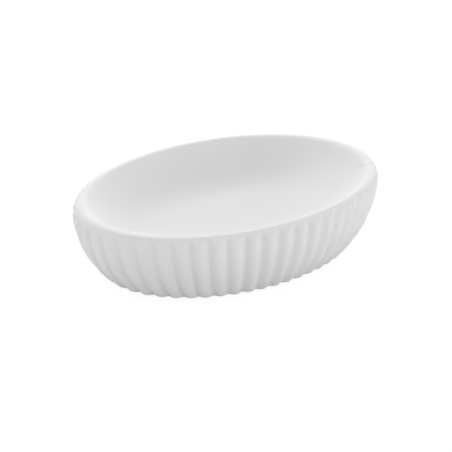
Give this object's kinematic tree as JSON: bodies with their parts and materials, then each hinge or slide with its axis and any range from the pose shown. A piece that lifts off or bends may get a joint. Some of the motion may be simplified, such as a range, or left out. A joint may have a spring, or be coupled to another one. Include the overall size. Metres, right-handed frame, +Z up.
{
  "type": "soap dish",
  "caption": "Oval soap dish with a ribbed outer wall, a plain rolled rim and a smooth closed basin, standing on round non-slip pads.",
  "frame": {"origin": "on the resting plane, under the middle of the dish", "axes": "+X along the dish's length, +Y to the rear, +Z up out of the basin"},
  "size_m": [0.1396, 0.098, 0.0314],
  "materials": {
    "dish": "matte, unglazed white",
    "pad": "soft translucent grey",
    "adhesive": "thin film"
  },
  "bodies": {
    "root": {"dish_body": "dish", "foot_pad_front_left": "pad", "foot_pad_front_right": "pad", "foot_pad_rear_left": "pad", "foot_pad_rear_right": "pad", "pad_adhesive_front_left": "adhesive", "pad_adhesive_front_right": "adhesive", "pad_adhesive_rear_left": "adhesive", "pad_adhesive_rear_right": "adhesive"}
  },
  "joints": []
}
